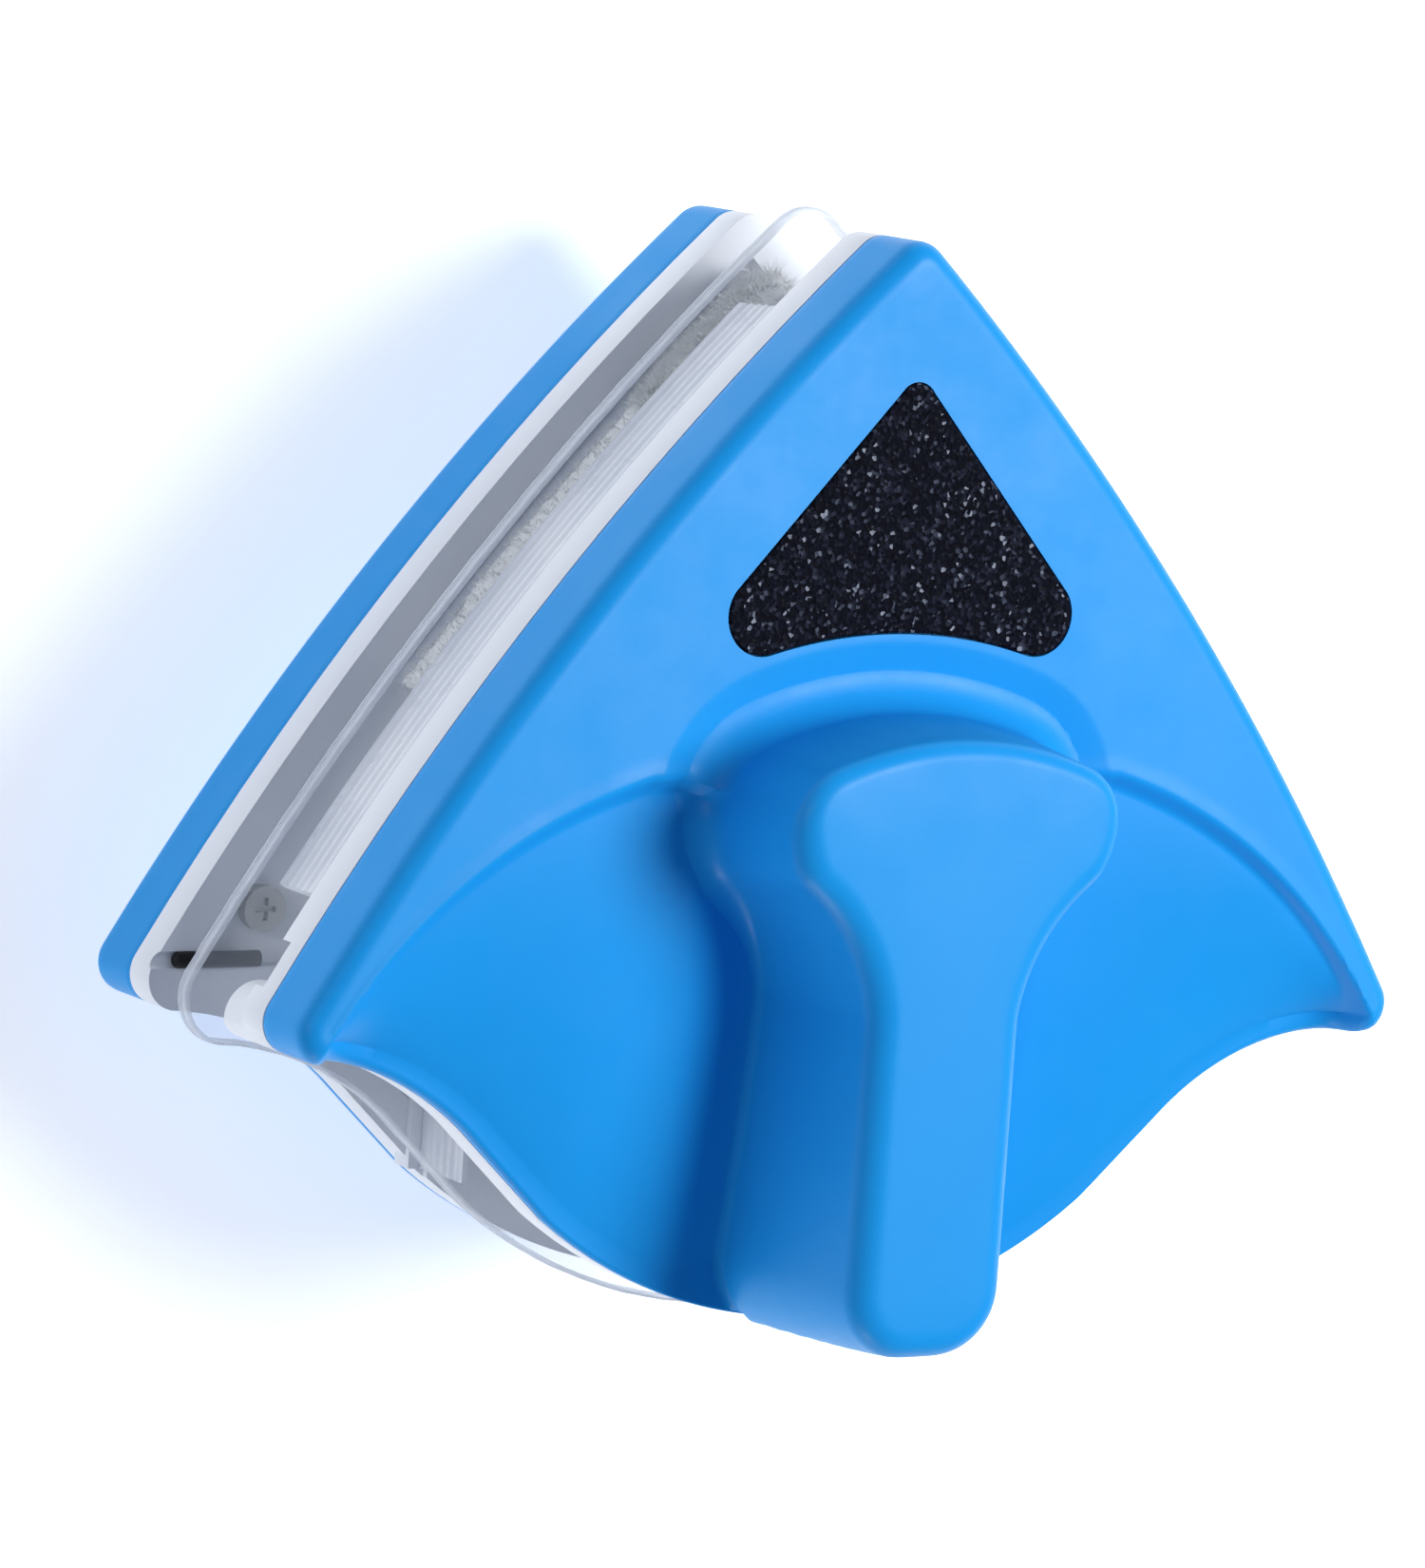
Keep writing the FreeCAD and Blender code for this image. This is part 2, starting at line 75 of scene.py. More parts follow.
# ---- grip ----
HEAD_TOP, HEAD_HALF, HEAD_Y = 36.4, 23.0, 25.5
SHOULDER = (18.0, 33.0)
CHEEK_HIGH, CHEEK_LOW, CHIN = (1.1, 4.1), (0.5, -3.4), (2.2, -6.6)
NECK_MID = (14.4, 12.4)
STEM_TOP_Y, STEM_HALF, STEM_END_Y, STEM_R = 3.0, 10.8, -38.3, 8.5
GRIP_SPREAD = 2.6
ROUND_HEAD, ROUND_STEM = 2.4, 3.7
ROUND_FROM_Y, ROUND_RAMP = 22, 11
GRIP_CROWN, CROWN_REACH = 0.12, 7.5
GRIP_BOTTOM = 0.8
FLARE_HEAD, FLARE_STEM = 4.2, 1.3
FLARE_FROM_Y, FLARE_RAMP = 8, 16
FLARE_END = math.radians(78)
FLARE_SKIRT, FLARE_DIP = 1.25, 0.11    # shares of the flare, out and down

# ---- black inset ----
INSET_TOP = (0.0, 74.3, 2.7)
INSET_LOBE = (19.4, 49.0, 5.0)
INSET_SAG = 2.6
INSET_DEEP = 1.5
FOAM_GAP, FOAM_PROUD, FOAM_GRAIN = 0.15, 0.05, 0.045
FOAM_LIP_DROP, FOAM_LIP_IN, FOAM_LIP_UP = 0.4, 0.5, 0.45

# ---- working side ----
RIM_H = 5.0
DECK_H = 6.0
TIP_H = 15.6
BLADE_T, BLADE_INSET = 2.0, 0.8
BLADE_END_Y, BLADE_TOP_Y = 12.8, 84.0
INNER_X, INNER_T = 38.5, 1.6
INNER_LOW_Y, INNER_TOP_Y = -24.2, 30.0
BLADE_LINES, LINE_DEPTH = 7, 0.15
LINE_FROM, LINE_TO = 0.2, 0.93         # shares of the blade's depth
TAPER, TAPER_FROM = 0.45, 0.25
SEAT_IN, TIP_SHORT = 1.95, 0.05
BASE_SOFT, BASE_SOFT_ANGLE, BASE_SOFT_STEPS = 0.5, 35, 3

# ---- separator plate ----
PLATE_OVER = 2.0
PLATE_ROUND = 0.6
PLATE_GROOVE = 0.22
GROOVE_OFF = (0.45, 0.28, 0.1)         # a groove's edges, from the middle of the plate
PLATE_EDGE_T = 0.05
PLATE_WAVE = 0.035
PLATE_SEAM = 0.02
PLATE_GRID = 5.0

# ---- pile pad ----
PAD_VOXEL = 3.0
PAD_FIT = (0.985, 0.988, 0.90)
PAD_SWELL = 0.9
PAD_ROUGH = 0.10
PAD_CLEAR = 0.01
PAD_PRESSURE, PAD_FRAMES = 4, 20
FIBRE_COUNT = 9000
FIBRE_LENGTH = (0.8, 1.9)
FIBRE_WIDTH = (0.04, 0.10)
FIBRE_SCATTER, FIBRE_LEAN, FIBRE_ON_FACE = 0.25, 0.55, 0.12
FIBRE_CLEAR = 0.02         # what a fibre keeps inside the box of the pad's solid
FRAY_Y = 70.0
FRAY_LENGTH = (1.2, 2.8)

# ---- places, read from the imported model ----
FRONT_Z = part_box("front_shell")[0].z / MM
REAR_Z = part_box("rear_shell")[1].z / MM
MID_Y = OUTLINE_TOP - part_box("front_shell")[1].y / MM


def place(points, half):
    """Half-frame millimetres to shared-frame metres, for "front" or "rear"."""
    p = np.array(points, float).reshape(-1, 3)
    if half == "front":
        moved = np.column_stack([p[:, 0], p[:, 1] - MID_Y, FRONT_Z + p[:, 2]])
    else:
        moved = np.column_stack([-p[:, 0], p[:, 1] - MID_Y, REAR_Z - p[:, 2]])
    return moved * MM


# ------------------------------------------------------------------ plane curves

def flip(p):
    return -p[0], p[1]


def arc_points(a, b, c, step=0.25):
    """Points from a towards c on the circle through a, b and c, without c."""
    (ax, ay), (bx, by), (cx, cy) = a, b, c
    d = 2 * (ax * (by - cy) + bx * (cy - ay) + cx * (ay - by))
    a2, b2, c2 = ax * ax + ay * ay, bx * bx + by * by, cx * cx + cy * cy
    ux = (a2 * (by - cy) + b2 * (cy - ay) + c2 * (ay - by)) / d
    uy = (a2 * (cx - bx) + b2 * (ax - cx) + c2 * (bx - ax)) / d
    radius = math.hypot(ax - ux, ay - uy)
    t0 = math.atan2(ay - uy, ax - ux)
    turn_b = (math.atan2(by - uy, bx - ux) - t0) % (2 * math.pi)
    turn_c = (math.atan2(cy - uy, cx - ux) - t0) % (2 * math.pi)
    turn = turn_c if turn_b < turn_c else turn_c - 2 * math.pi
    n = max(int(abs(turn) * radius / step), 2)
    t = t0 + turn * np.arange(n) / n
    return np.column_stack([ux + radius * np.cos(t), uy + radius * np.sin(t)])


def line_points(a, b, step=0.25):
    n = max(int(math.dist(a, b) / step), 2)
    t = (np.arange(n) / n)[:, None]
    return np.array(a) * (1 - t) + np.array(b) * t


def resample(points, n, soften=0.0):
    """Closed curve through points as n even steps, rounded over soften mm."""
    loop = np.vstack([points, points[:1]])
    run = np.concatenate([[0], np.cumsum(np.hypot(*np.diff(loop, axis=0).T))])
    at = np.linspace(0, run[-1], n, endpoint=False)
    even = np.column_stack([np.interp(at, run, loop[:, k]) for k in (0, 1)])
    if soften:
        sigma = soften / (run[-1] / n)
        reach = int(3 * sigma) + 1
        weight = np.exp(-0.5 * (np.arange(-reach, reach + 1) / sigma) ** 2)
        weight /= weight.sum()
        even = sum(w * np.roll(even, k, axis=0) for w, k in zip(weight, range(-reach, reach + 1)))
    return even


def outward(loop):
    """Unit normals of a closed loop, pointing away from its inside."""
    along = np.roll(loop, -1, axis=0) - np.roll(loop, 1, axis=0)
    normal = np.column_stack([along[:, 1], -along[:, 0]])
    normal /= np.hypot(*normal.T)[:, None]
    area = 0.5 * np.sum(loop[:, 0] * np.roll(loop[:, 1], -1) - np.roll(loop[:, 0], -1) * loop[:, 1])
    return normal * math.copysign(1.0, area)


def side_arc():
    """Lower end, middle and upper end of the right-hand long side."""
    length = math.hypot(CORNER_X, APEX_Y)
    radius = length ** 2 / (8 * SIDE_BULGE) + SIDE_BULGE / 2
    nx, ny = APEX_Y / length, CORNER_X / length
    cx = CORNER_X / 2 - (radius - SIDE_BULGE) * nx
    cy = APEX_Y / 2 - (radius - SIDE_BULGE) * ny

    def out(x, y, r):
        away = math.hypot(x - cx, y - cy)
        return x + r * (x - cx) / away, y + r * (y - cy) / away

    middle = (cx + (radius + CORNER_R) * nx, cy + (radius + CORNER_R) * ny)
    return out(CORNER_X, 0.0, CORNER_R), middle, out(0.0, APEX_Y, CORNER_R)


def outline_curve():
    low, mid, high = side_arc()
    tip = CORNER_R * math.sqrt(0.5)
    corner_out, corner_end = (CORNER_X + tip, -tip), (CORNER_X, -CORNER_R)
    return np.vstack([
        arc_points(high, (0.0, OUTLINE_TOP), flip(high)),
        arc_points(flip(high), flip(mid), flip(low)),
        arc_points(flip(low), flip(corner_out), flip(corner_end)),
        arc_points(flip(corner_end), flip(LOWER_HOLLOW), flip(LOWER_KNEE)),
        line_points(flip(LOWER_KNEE), flip(LOWER_BELLY)),
        arc_points(flip(LOWER_BELLY), (0.0, LOWER_Y), LOWER_BELLY),
        line_points(LOWER_BELLY, LOWER_KNEE),
        arc_points(LOWER_KNEE, LOWER_HOLLOW, corner_end),
        arc_points(corner_end, corner_out, low),
        arc_points(low, mid, high),
    ])


def grip_curve():
    cheek = (HEAD_HALF, HEAD_Y)
    cheek_high, cheek_low, chin = [(HEAD_HALF - x, HEAD_Y + y) for x, y in (CHEEK_HIGH, CHEEK_LOW, CHIN)]
    stem_top = (STEM_HALF, STEM_TOP_Y)
    heel = (STEM_HALF, STEM_END_Y + STEM_R)
    heel_mid = (STEM_HALF - STEM_R * 0.29, STEM_END_Y + STEM_R * 0.29)
    sole = (STEM_HALF - STEM_R, STEM_END_Y)
    return np.vstack([
        arc_points(flip(SHOULDER), (0.0, HEAD_TOP), SHOULDER),
        arc_points(SHOULDER, cheek_high, cheek),
        arc_points(cheek, cheek_low, chin),
        arc_points(chin, NECK_MID, stem_top),
        line_points(stem_top, heel),
        arc_points(heel, heel_mid, sole),
        line_points(sole, flip(sole)),
        arc_points(flip(sole), flip(heel_mid), flip(heel)),
        line_points(flip(heel), flip(stem_top)),
        arc_points(flip(stem_top), flip(NECK_MID), flip(chin)),
        arc_points(flip(chin), flip(cheek_low), flip(cheek)),
        arc_points(flip(cheek), flip(cheek_high), flip(SHOULDER)),
    ])


def inset_curve():
    (tx, ty, tr), (lx, ly, lr) = INSET_TOP, INSET_LOBE
    lean = math.atan2(ty - ly, lx - tx) + math.asin((lr - tr) / math.hypot(lx - tx, ty - ly))
    nx, ny = math.sin(lean), math.cos(lean)
    top_touch = (tx + tr * nx, ty + tr * ny)
    side_touch = (lx + lr * nx, ly + lr * ny)
    lobe_out = (lx + lr * math.cos(-0.6), ly + lr * math.sin(-0.6))
    lobe_low = (lx - 0.25 * lr, ly - lr * 0.968)
    return np.vstack([
        arc_points(flip(top_touch), (tx, ty + tr), top_touch),
        line_points(top_touch, side_touch),
        arc_points(side_touch, lobe_out, lobe_low),
        arc_points(lobe_low, (0.0, lobe_low[1] + INSET_SAG), flip(lobe_low)),
        arc_points(flip(lobe_low), flip(lobe_out), flip(side_touch)),
        line_points(flip(side_touch), flip(top_touch)),
    ])


def distance_outside(loop, points, reach):
    """Distance from points to a closed loop, 0 inside it and reach beyond it."""
    points = np.asarray(points, float)
    best = np.full(len(points), float(reach))
    low, high = loop.min(0) - reach, loop.max(0) + reach
    near = np.flatnonzero(((points > low) & (points < high)).all(1))
    if len(near):
        part = points[near]
        gap = np.hypot(part[:, None, 0] - loop[None, :, 0], part[:, None, 1] - loop[None, :, 1]).min(1)
        best[near] = np.where(inside(loop, part), 0.0, np.minimum(gap, reach))
    return best


def inside(loop, points):
    x, y = points[:, 0], points[:, 1]
    hit = np.zeros(len(points), bool)
    for (ax, ay), (bx, by) in zip(loop, np.roll(loop, -1, axis=0)):
        crosses = (ay > y) != (by > y)
        if crosses.any():
            hit ^= crosses & (x < (bx - ax) * (y - ay) / ((by - ay) or 1e-12) + ax)
    return hit


# ------------------------------------------------------------------ shell heights

def smooth(t):
    t = np.clip(t, 0.0, 1.0)
    return t * t * (3 - 2 * t)


def curve_y(points, x):
    """y of a curve given as points with rising x."""
    order = np.argsort(points[:, 0])
    return np.interp(x, points[order, 0], points[order, 1])


RIDGE = arc_points(RIDGE_IN, RIDGE_MID, RIDGE_OUT)
LOWER = np.vstack([
    arc_points((0.0, LOWER_Y), (LOWER_BELLY[0] * 0.53, -34.9), LOWER_BELLY),
    line_points(LOWER_BELLY, LOWER_KNEE),
    arc_points(LOWER_KNEE, LOWER_HOLLOW, (CORNER_X, -CORNER_R)),
])


def wing_height(x, y):
    x = np.abs(x)
    top, low = curve_y(RIDGE, x), curve_y(LOWER, x)
    s = np.clip((top - y) / np.maximum(top - low, 4.0), 0.0, 1.0)
    height = WING_EDGE + (WING_TOP - WING_EDGE) * (1 - s ** WING_POWER)
    valley = smooth((VALLEY_FROM - x) / VALLEY_WIDTH)
    return np.maximum(height - VALLEY_DEPTH * valley * (1 - VALLEY_FADE * s), WING_EDGE)


def top_height(xy):
    """Outer surface of the shell, without its grip, at points xy."""
    x, y = xy[:, 0], xy[:, 1]
    ridge = curve_y(RIDGE, np.abs(x))
    blend = smooth((ridge - y + RIDGE_SOFT) / (2 * RIDGE_SOFT))
    lip = LIP_RISE * np.exp(-((y - ridge - RIDGE_SOFT) / LIP_WIDTH) ** 2) * (np.abs(x) > LIP_FROM_X)
    height = FACE_H * (1 - blend) + wing_height(x, y) * blend + lip - LIP_RISE
    near = 1 - distance_outside(GRIP_FOOT, xy, MOAT_WIDTH) / MOAT_WIDTH
    dip = 0.5 * smooth(near) + 0.5 * near * (2 - near)
    return height - MOAT_DEPTH * dip * smooth((y - MOAT_FROM_Y) / MOAT_RAMP)


# ------------------------------------------------------------------ mesh helpers

def make_object(name, vertices, faces):
    mesh = bpy.data.meshes.new(name)
    mesh.from_pydata([tuple(v) for v in vertices], [], faces)
    mesh.validate()
    obj = bpy.data.objects.new(name, mesh)
    bpy.context.scene.collection.objects.link(obj)
    return obj


def face_outwards(obj):
    bm = bmesh.new()
    bm.from_mesh(obj.data)
    bmesh.ops.recalc_face_normals(bm, faces=bm.faces)
    bm.to_mesh(obj.data)
    bm.free()
    return obj


def rings_to_faces(count, rings):
    faces = []
    for r in range(rings - 1):
        low, high = r * count, (r + 1) * count
        for i in range(count):
            j = (i + 1) % count
            faces.append((low + i, low + j, high + j, high + i))
    return faces


def fill_flat(loop, step, first):
    """Triangles over a closed loop, on an even grid of inner points.

    Gives the inner points and faces that count the loop's points from 0 and
    the inner points from first.
    """
    lo, hi = loop.min(0), loop.max(0)
    gx, gy = np.meshgrid(np.arange(lo[0], hi[0], step), np.arange(lo[1], hi[1], step * 0.866))
    gx = gx + (np.arange(gx.shape[0])[:, None] % 2) * step / 2
    grid = np.column_stack([gx.ravel(), gy.ravel()])
    grid = grid[inside(loop, grid)]
    gap = np.hypot(grid[:, None, 0] - loop[None, :, 0], grid[:, None, 1] - loop[None, :, 1]).min(1)
    grid = grid[gap > step * 0.6]
    n = len(loop)
    points = [Vector(p) for p in np.vstack([loop, grid])]
    edges = [(i, (i + 1) % n) for i in range(n)]
    out = geometry.delaunay_2d_cdt(points, edges, [], 1, 1e-6)
    origin = [ids[0] if ids else 0 for ids in out[3]]
    faces = [tuple(origin[i] if origin[i] < n else origin[i] - n + first for i in f) for f in out[2]]
    return grid, faces


def apply_modifiers(obj):
    depsgraph = bpy.context.evaluated_depsgraph_get()
    depsgraph.update()
    mesh = bpy.data.meshes.new_from_object(obj.evaluated_get(depsgraph), depsgraph=depsgraph)
    obj.modifiers.clear()
    obj.data = mesh
    return obj


def combine(obj, other, operation):
    mod = obj.modifiers.new("combine", "BOOLEAN")
    mod.operation = operation
    mod.object = other
    mod.solver = "MANIFOLD"
    apply_modifiers(obj)
    bpy.data.objects.remove(other)
    return obj


def shade(obj, angle=32):
    obj.data.shade_smooth()
    obj.data.set_sharp_from_angle(angle=math.radians(angle))
    return obj


def put(obj, half, slot, node):
    """Places a half-frame mesh in the shared frame and hangs it on its body."""
    count = len(obj.data.vertices)
    co = np.zeros(count * 3)
    obj.data.vertices.foreach_get("co", co)
    obj.data.vertices.foreach_set("co", place(co, half).ravel())
    obj.data.update()
    obj.data.materials.clear()
    obj.data.materials.append(MATERIALS[slot])
    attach(obj, half + "_half")
    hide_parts(node)
    return obj


# ------------------------------------------------------------------ materials

def new_material(name):
    mat = bpy.data.materials.new(name)
    mat.use_nodes = True
    shader = mat.node_tree.nodes["Principled BSDF"]
    return mat, mat.node_tree, shader


def add(tree, kind, **values):
    node = tree.nodes.new(kind)
    for key, value in values.items():
        setattr(node, key, value)
    return node


def object_noise(tree, scale, detail=2.0, roughness=0.5):
    coord = add(tree, "ShaderNodeTexCoord")
    noise = add(tree, "ShaderNodeTexNoise")
    noise.inputs["Scale"].default_value = scale
    noise.inputs["Detail"].default_value = detail
    noise.inputs["Roughness"].default_value = roughness
    tree.links.new(coord.outputs["Object"], noise.inputs["Vector"])
    return noise.outputs["Fac"]


def ramp(tree, fac, stops):
    node = add(tree, "ShaderNodeValToRGB")
    band = node.color_ramp
    while len(band.elements) < len(stops):
        band.elements.new(0.5)
    for element, (position, colour) in zip(band.elements, stops):
        element.position = position
        element.color = (*colour, 1.0)
    tree.links.new(fac, node.inputs["Fac"])
    return node.outputs["Color"]


def grey(v):
    return v, v, v


def bump(tree, shader, height, strength, distance):
    node = add(tree, "ShaderNodeBump")
    node.inputs["Strength"].default_value = strength
    node.inputs["Distance"].default_value = distance
    tree.links.new(height, node.inputs["Height"])
    tree.links.new(node.outputs["Normal"], shader.inputs["Normal"])


def moulded_plastic(name, colour, shade_colour, rough, grain):
    """Injection-moulded plastic: faint flow marks, fine skin and soft wear."""
    mat, tree, shader = new_material(name)
    tint = ramp(tree, object_noise(tree, 26, 4), [(0.3, shade_colour), (0.7, colour)])
    tree.links.new(tint, shader.inputs["Base Color"])
    gloss = ramp(tree, object_noise(tree, 90, 5, 0.6), [(0.35, grey(rough * 0.86)), (0.7, grey(rough * 1.2))])
    tree.links.new(gloss, shader.inputs["Roughness"])
    bump(tree, shader, object_noise(tree, grain, 3), 0.12, 0.00006)
    shader.inputs["Specular IOR Level"].default_value = 0.16
    return mat


def glitter_foam():
    mat, tree, shader = new_material("glitter_foam")
    coord = add(tree, "ShaderNodeTexCoord")
    cells = add(tree, "ShaderNodeTexVoronoi", feature="F1")
    cells.inputs["Scale"].default_value = 2100
    tree.links.new(coord.outputs["Object"], cells.inputs["Vector"])
    pick = add(tree, "ShaderNodeSeparateColor")
    tree.links.new(cells.outputs["Color"], pick.inputs["Color"])
    stops = [(0.0, (0.003, 0.003, 0.006)), (0.68, (0.005, 0.006, 0.012)),
             (0.90, (0.018, 0.020, 0.035)), (0.97, (0.07, 0.08, 0.11)), (0.992, (0.26, 0.28, 0.33))]
    tree.links.new(ramp(tree, pick.outputs["Red"], stops), shader.inputs["Base Color"])
    rough = ramp(tree, pick.outputs["Green"], [(0.0, grey(0.95)), (0.85, grey(0.8)), (0.95, grey(0.5))])
    tree.links.new(rough, shader.inputs["Roughness"])
    shader.inputs["Specular IOR Level"].default_value = 0.08
    bump(tree, shader, cells.outputs["Distance"], 0.7, 0.0003)
    return mat


def clear_rubber():
    mat, tree, shader = new_material("blade_clear")
    tint = ramp(tree, object_noise(tree, 60, 3), [(0.3, (0.70, 0.74, 0.81)), (0.7, (0.82, 0.85, 0.90))])
    tree.links.new(tint, shader.inputs["Base Color"])
    rough = ramp(tree, object_noise(tree, 300, 3), [(0.3, grey(0.25)), (0.7, grey(0.42))])
    tree.links.new(rough, shader.inputs["Roughness"])
    shader.inputs["IOR"].default_value = 1.43
    shader.inputs["Sheen Weight"].default_value = 0.2
    return mat


def clear_plate(name, haze_low, haze_high):
    """Clear sheet plastic: see-through, with a haze of scuffs."""
    mat, tree, shader = new_material(name)
    tint = ramp(tree, object_noise(tree, 30, 3), [(0.3, (0.80, 0.85, 0.93)), (0.7, (0.90, 0.93, 0.98))])
    tree.links.new(tint, shader.inputs["Base Color"])
    haze = ramp(tree, object_noise(tree, 70, 5, 0.6), [(0.35, grey(haze_low)), (0.75, grey(haze_high))])
    tree.links.new(haze, shader.inputs["Alpha"])
    rough = ramp(tree, object_noise(tree, 140, 4), [(0.35, grey(0.08)), (0.7, grey(0.22))])
    tree.links.new(rough, shader.inputs["Roughness"])
    bump(tree, shader, object_noise(tree, 500, 2), 0.08, 0.00005)
    return mat


def pile_white():
    mat, tree, shader = new_material("pad_white")
    stops = [(0.3, (0.84, 0.85, 0.85)), (0.62, (0.94, 0.94, 0.93))]
    tint = ramp(tree, object_noise(tree, 420, 5, 0.65), stops)
    tree.links.new(tint, shader.inputs["Base Color"])
    shader.inputs["Roughness"].default_value = 0.95
    shader.inputs["Sheen Weight"].default_value = 0.5
    shader.inputs["Sheen Roughness"].default_value = 0.6
    bump(tree, shader, object_noise(tree, 1500, 4, 0.7), 0.45, 0.0004)
    return mat


def hook_tape():
    mat, tree, shader = new_material("hook_white")
    coord = add(tree, "ShaderNodeTexCoord")
    dots = add(tree, "ShaderNodeTexVoronoi", feature="F1")
    dots.inputs["Scale"].default_value = 900
    dots.inputs["Randomness"].default_value = 0.25
    tree.links.new(coord.outputs["Object"], dots.inputs["Vector"])
    tint = ramp(tree, dots.outputs["Distance"], [(0.2, (0.82, 0.83, 0.84)), (0.6, (0.55, 0.56, 0.58))])
    tree.links.new(tint, shader.inputs["Base Color"])
    shader.inputs["Roughness"].default_value = 0.7
    bump(tree, shader, dots.outputs["Distance"], 0.8, 0.0003)
    return mat


def plated(name, colour, rough, scratch):
    """Plated metal with fine handling scratches."""
    mat, tree, shader = new_material(name)
    shader.inputs["Metallic"].default_value = 1.0
    coord = add(tree, "ShaderNodeTexCoord")
    stretch = add(tree, "ShaderNodeMapping")
    stretch.inputs["Scale"].default_value = (40, 900, 900)
    lines = add(tree, "ShaderNodeTexNoise")
    lines.inputs["Scale"].default_value = scratch
    tree.links.new(coord.outputs["Object"], stretch.inputs["Vector"])
    tree.links.new(stretch.outputs["Vector"], lines.inputs["Vector"])
    dull = tuple(c * 0.82 for c in colour)
    tree.links.new(ramp(tree, object_noise(tree, 120, 4), [(0.3, dull), (0.6, colour)]),
                   shader.inputs["Base Color"])
    tree.links.new(ramp(tree, lines.outputs["Fac"], [(0.3, grey(rough * 0.7)), (0.7, grey(rough * 1.5))]),
                   shader.inputs["Roughness"])
    bump(tree, shader, lines.outputs["Fac"], 0.1, 0.00004)
    return mat


MATERIALS = {
    "shell_blue": moulded_plastic("shell_blue", (0.014, 0.338, 0.82), (0.011, 0.320, 0.80), 0.40, 1400),
    "base_white": moulded_plastic("base_white", (0.86, 0.88, 0.92), (0.82, 0.85, 0.90), 0.42, 1200),
    "peg_black": moulded_plastic("peg_black", (0.012, 0.012, 0.013), (0.02, 0.02, 0.02), 0.5, 2500),
    "glitter_foam": glitter_foam(),
    "blade_clear": clear_rubber(),
    "plate_clear": clear_plate("plate_clear", 0.10, 0.18),
    "plate_edge": clear_plate("plate_edge", 0.40, 0.62),
    "pad_white": pile_white(),
    "hook_white": hook_tape(),
    "steel": plated("steel", (0.58, 0.58, 0.60), 0.32, 1.0),
    "screw_steel": plated("screw_steel", (0.62, 0.61, 0.58), 0.3, 1.4),
    "magnet_nickel": plated("magnet_nickel", (0.72, 0.70, 0.66), 0.16, 1.2),
}


# ------------------------------------------------------------------ pieces

OUTLINE = resample(outline_curve(), 720)
OUT_NORMAL = outward(OUTLINE)
GRIP = resample(grip_curve(), 400, soften=0.9)
GRIP_NORMAL = outward(GRIP)
GRIP_FOOT = (GRIP + GRIP_NORMAL * GRIP_SPREAD * 0.55)[::2]
CENTRE = np.array([0.0, 20.0])


def shell_surface(lower, inset, rings):
    """Closed body under the shell's top, lowered and shrunk for the cavity."""
    count = len(OUTLINE)
    shoulder = OUTLINE - OUT_NORMAL * (inset + EDGE_ROUND)
    top = top_height(shoulder) - lower
    top = np.maximum(top, THINNEST)
    curve = np.minimum(EDGE_ROUND, 0.45 * top)
    layers = []
    if lower:
        layers.append((OUTLINE - OUT_NORMAL * inset, np.full(count, -1.0)))
    else:
        layers.append((OUTLINE - OUT_NORMAL * FOOT_ROUND, np.zeros(count)))
        layers.append((OUTLINE - OUT_NORMAL * FOOT_ROUND * 0.3, np.full(count, FOOT_ROUND * 0.3)))
    for t in np.linspace(0.0, 1.0, 8):
        start = FOOT_ROUND if not lower else 0.0
        height = start + np.maximum(top - curve - start, 0) * t
        layers.append((OUTLINE - OUT_NORMAL * inset, height))
    for a in np.linspace(0, math.pi / 2, 9)[1:]:
        shift = inset + curve * (1 - math.cos(a))
        layers.append((OUTLINE - OUT_NORMAL * shift[:, None], top - curve * (1 - math.sin(a))))
    layers.append((shoulder, top))
    for t in np.linspace(1, 0, rings)[1:-1]:
        ring = CENTRE + (shoulder - CENTRE) * t
        layers.append((ring, np.maximum(top_height(ring) - lower, THINNEST)))
    vertices = np.vstack([np.column_stack([xy, h]) for xy, h in layers])
    faces = rings_to_faces(count, len(layers))
    last = (len(layers) - 1) * count
    faces.append(tuple(range(count))[::-1])
    faces.append(tuple(last + i for i in range(count)))
    return vertices, faces


